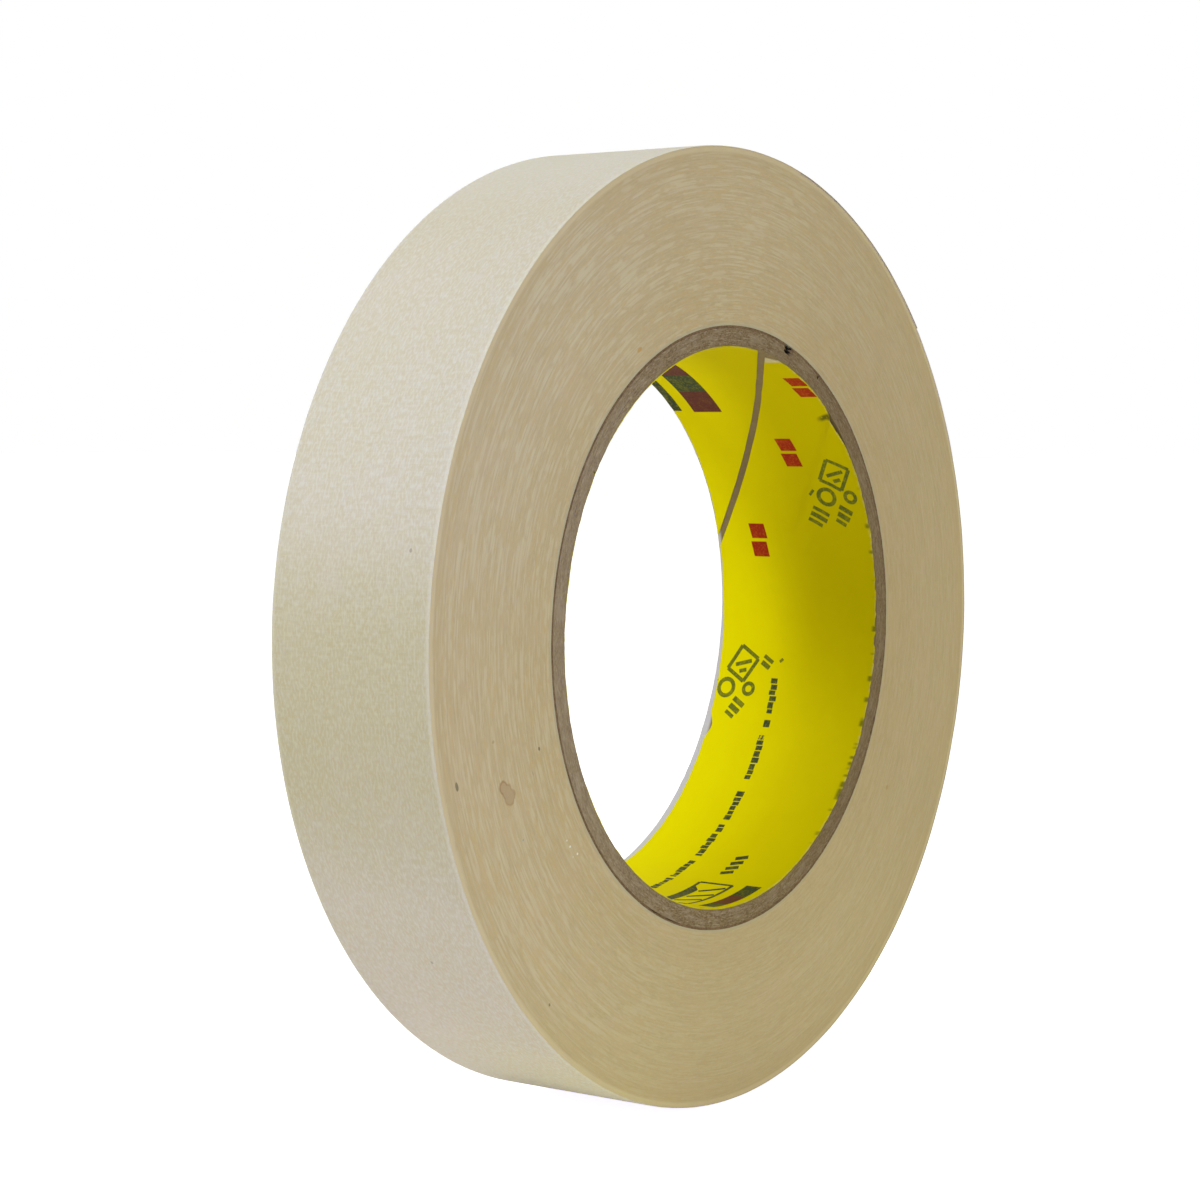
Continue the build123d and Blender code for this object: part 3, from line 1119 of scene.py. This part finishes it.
def floor_material():
    """Plain pale cloth, lit up to white where it is seen and giving the roll soft light."""
    material, tree = new_material("floor")
    x, y, _ = coordinates(tree)
    cloth = noise(x * 3, y * 3, 0.0, 1.0)
    colour = mixed(cloth, (0.93, 0.905, 0.85), (0.95, 0.925, 0.87))
    shader = tree.nodes["Principled BSDF"]
    shader.inputs["Roughness"].default_value = 0.9
    shader.inputs["Specular IOR Level"].default_value = 0.0
    rays = tree.nodes.new("ShaderNodeLightPath")
    seen = Term(tree, rays.outputs["Is Camera Ray"])
    left = x.smooth(-0.005, -0.02) * x.smooth(-0.06, -0.04) * y.math("ABSOLUTE").smooth(0.04, 0.015)
    bounced = mixed(left, FLOOR_GLOW, FLOOR_GLOW_LEFT)
    glow = mixed(seen, bounced, FLOOR_SEEN)
    tree.links.new(glow.socket, shader.inputs["Emission Color"])
    shader.inputs["Emission Strength"].default_value = 1.0
    tree.links.new(colour.socket, shader.inputs["Base Color"])
    return material


def make_floor():
    """The floor that the roll stands on."""
    corners = [(x * FLOOR_SIZE, y * FLOOR_SIZE, FLOOR_HEIGHT) for x, y in FLOOR_CORNERS]
    mesh = bpy.data.meshes.new("floor")
    mesh.from_pydata(corners, [], [(0, 1, 2, 3)])
    mesh.materials.append(floor_material())
    made = new_object("floor", mesh)


# The sky's soft light: where it comes from, its strength and its colour
SKY = (
    ((-0.1, -0.8, 0.7), 1.92, (1.0, 0.985, 0.18)),
    ((1.0, 0.5, 0.15), 1.75, (1.0, 0.94, 1.0)),
)


def lobe(x, y, z, towards):
    """Light that comes mostly from one side of the sky and fades out all round it."""
    aim = Vector(towards).normalized()
    along = x * aim.x + y * aim.y + z * aim.z
    return along.math("MAXIMUM", 0.0).math("POWER", 6.0)


def make_world():
    """A white studio: plain white where the camera sees it, and softly graded light from it."""
    world = bpy.data.worlds.new("studio")
    bpy.context.scene.world = world
    world.use_nodes = True
    tree = world.node_tree
    x, y, z = split_up(tree, tree.nodes.new("ShaderNodeTexCoord").outputs["Generated"])
    total = None
    for towards, strength, tint in SKY:
        part = tree.nodes.new("ShaderNodeBackground")
        part.inputs["Color"].default_value = tint + (1,)
        tree.links.new((lobe(x, y, z, towards) * strength).socket, part.inputs["Strength"])
        if total:
            both = tree.nodes.new("ShaderNodeAddShader")
            tree.links.new(total.outputs[0], both.inputs[0])
            tree.links.new(part.outputs[0], both.inputs[1])
        total = both if total else part
    seen = tree.nodes["Background"]
    seen.inputs["Color"].default_value = (1, 1, 1, 1)
    seen.inputs["Strength"].default_value = 1.0
    choose = tree.nodes.new("ShaderNodeMixShader")
    rays = tree.nodes.new("ShaderNodeLightPath")
    tree.links.new(rays.outputs["Is Camera Ray"], choose.inputs[0])
    tree.links.new(total.outputs[0], choose.inputs[1])
    tree.links.new(seen.outputs[0], choose.inputs[2])
    tree.links.new(choose.outputs[0], tree.nodes["World Output"].inputs["Surface"])


# Soft lamps: place, width, power and colour
LAMPS = {
    "left_high": ((-0.55, 0.10, 0.45), 0.14, 1.64, (0.90, 1.0, 0.4)),
    "back_high": ((-0.30, 0.28, 0.60), 0.25, 2.45, (0.59, 0.56, 1.0)),
    "front_left": ((-0.35, -0.30, 0.30), 0.2, 1.13, (0.02, 0.04, 1.0)),
}


def make_lamps():
    """Soft lamps on the left of the camera's view."""
    for name, (place, width, power, colour) in LAMPS.items():
        light = bpy.data.lights.new(name, "AREA")
        light.size = width
        light.energy = power
        light.color = colour
        lamp = new_object(name, light)
        lamp.location = place
        lamp.rotation_euler = (-lamp.location).to_track_quat("-Z", "Y").to_euler()
        lamp.visible_camera = False


CAMERA_LENS = 84.25
CAMERA_SENSOR = 36.0
CAMERA_AZIMUTH = -53.88
CAMERA_ELEVATION = 3.62
CAMERA_DISTANCE = 0.3891
CAMERA_RIGHT = -0.00806
CAMERA_UP = 0.00338


def make_camera():
    """A camera beside and in front of the roll, turned towards it, a little above its middle."""
    turn = math.radians(CAMERA_AZIMUTH)
    rise = math.radians(CAMERA_ELEVATION)
    level = math.cos(rise)
    back = Vector((math.sin(turn) * level, -math.cos(turn) * level, math.sin(rise)))
    right = Vector((math.cos(turn), math.sin(turn), 0))
    up = back.cross(right)
    data = bpy.data.cameras.new("camera")
    data.lens = CAMERA_LENS
    data.sensor_width = CAMERA_SENSOR
    data.clip_start = 0.01
    camera = new_object("camera", data)
    place = back * CAMERA_DISTANCE + right * CAMERA_RIGHT + up * CAMERA_UP
    turned = Matrix((right, up, back)).transposed().to_4x4()
    camera.matrix_world = Matrix.Translation(place) @ turned
    bpy.context.scene.camera = camera


# ---- Assembly ----


def settle(made, nodes=(), body="roll"):
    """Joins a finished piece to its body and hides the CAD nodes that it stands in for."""
    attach(made, body)
    if nodes:
        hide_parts(*nodes)


def build_tape():
    """The wound tape and the free end, which joins the outermost lap just past the peel line."""
    paper = crepe_paper()
    settle(make_outer_lap(paper))
    settle(make_wound_laps(cut_edges()), ["wound_tape"])
    strip_pieces = make_tail(paper, adhesive())
    nodes = ("tail_paper", "tail_adhesive")
    for made, node, slot in zip(strip_pieces, nodes, ("crepe_paper", "adhesive")):
        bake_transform(made)
        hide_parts(node)


def build_core():
    """The board plies, the wrap round them and the liner inside them."""
    board = core_board()
    for made, node in zip(make_plies(board), PLIES):
        settle(made, [node])
    settle(make_wrap(core_wrap_paper()), ["core_wrap"])
    settle(make_liner(liner_paper()), ["core_liner"])


def build_print():
    """The marks, each ink's full colour and its faded one."""
    red = ink("red_ink", (0.38, 0.02, 0.0), (0.56, 0.11, 0.0))
    dark = ink("dark_ink", (0.045, 0.065, 0.02), (0.24, 0.24, 0.0))
    pale = ink("pale_ink", (0.13, 0.155, 0.01), (0.38, 0.36, 0.0))
    brown = ink("brown_ink", (0.13, 0.032, 0.018), (0.2, 0.08, 0.015))
    settle(piece("red_marks", red_marks(), red))
    settle(piece("dark_marks", dark_marks(), dark))
    settle(piece("pale_marks", pale_marks(), pale))
    settle(piece("brown_marks", brown_marks(), brown))


build_tape()
build_core()
build_print()
make_floor()
make_world()
make_lamps()
make_camera()
bpy.context.scene.view_settings.view_transform = "Standard"
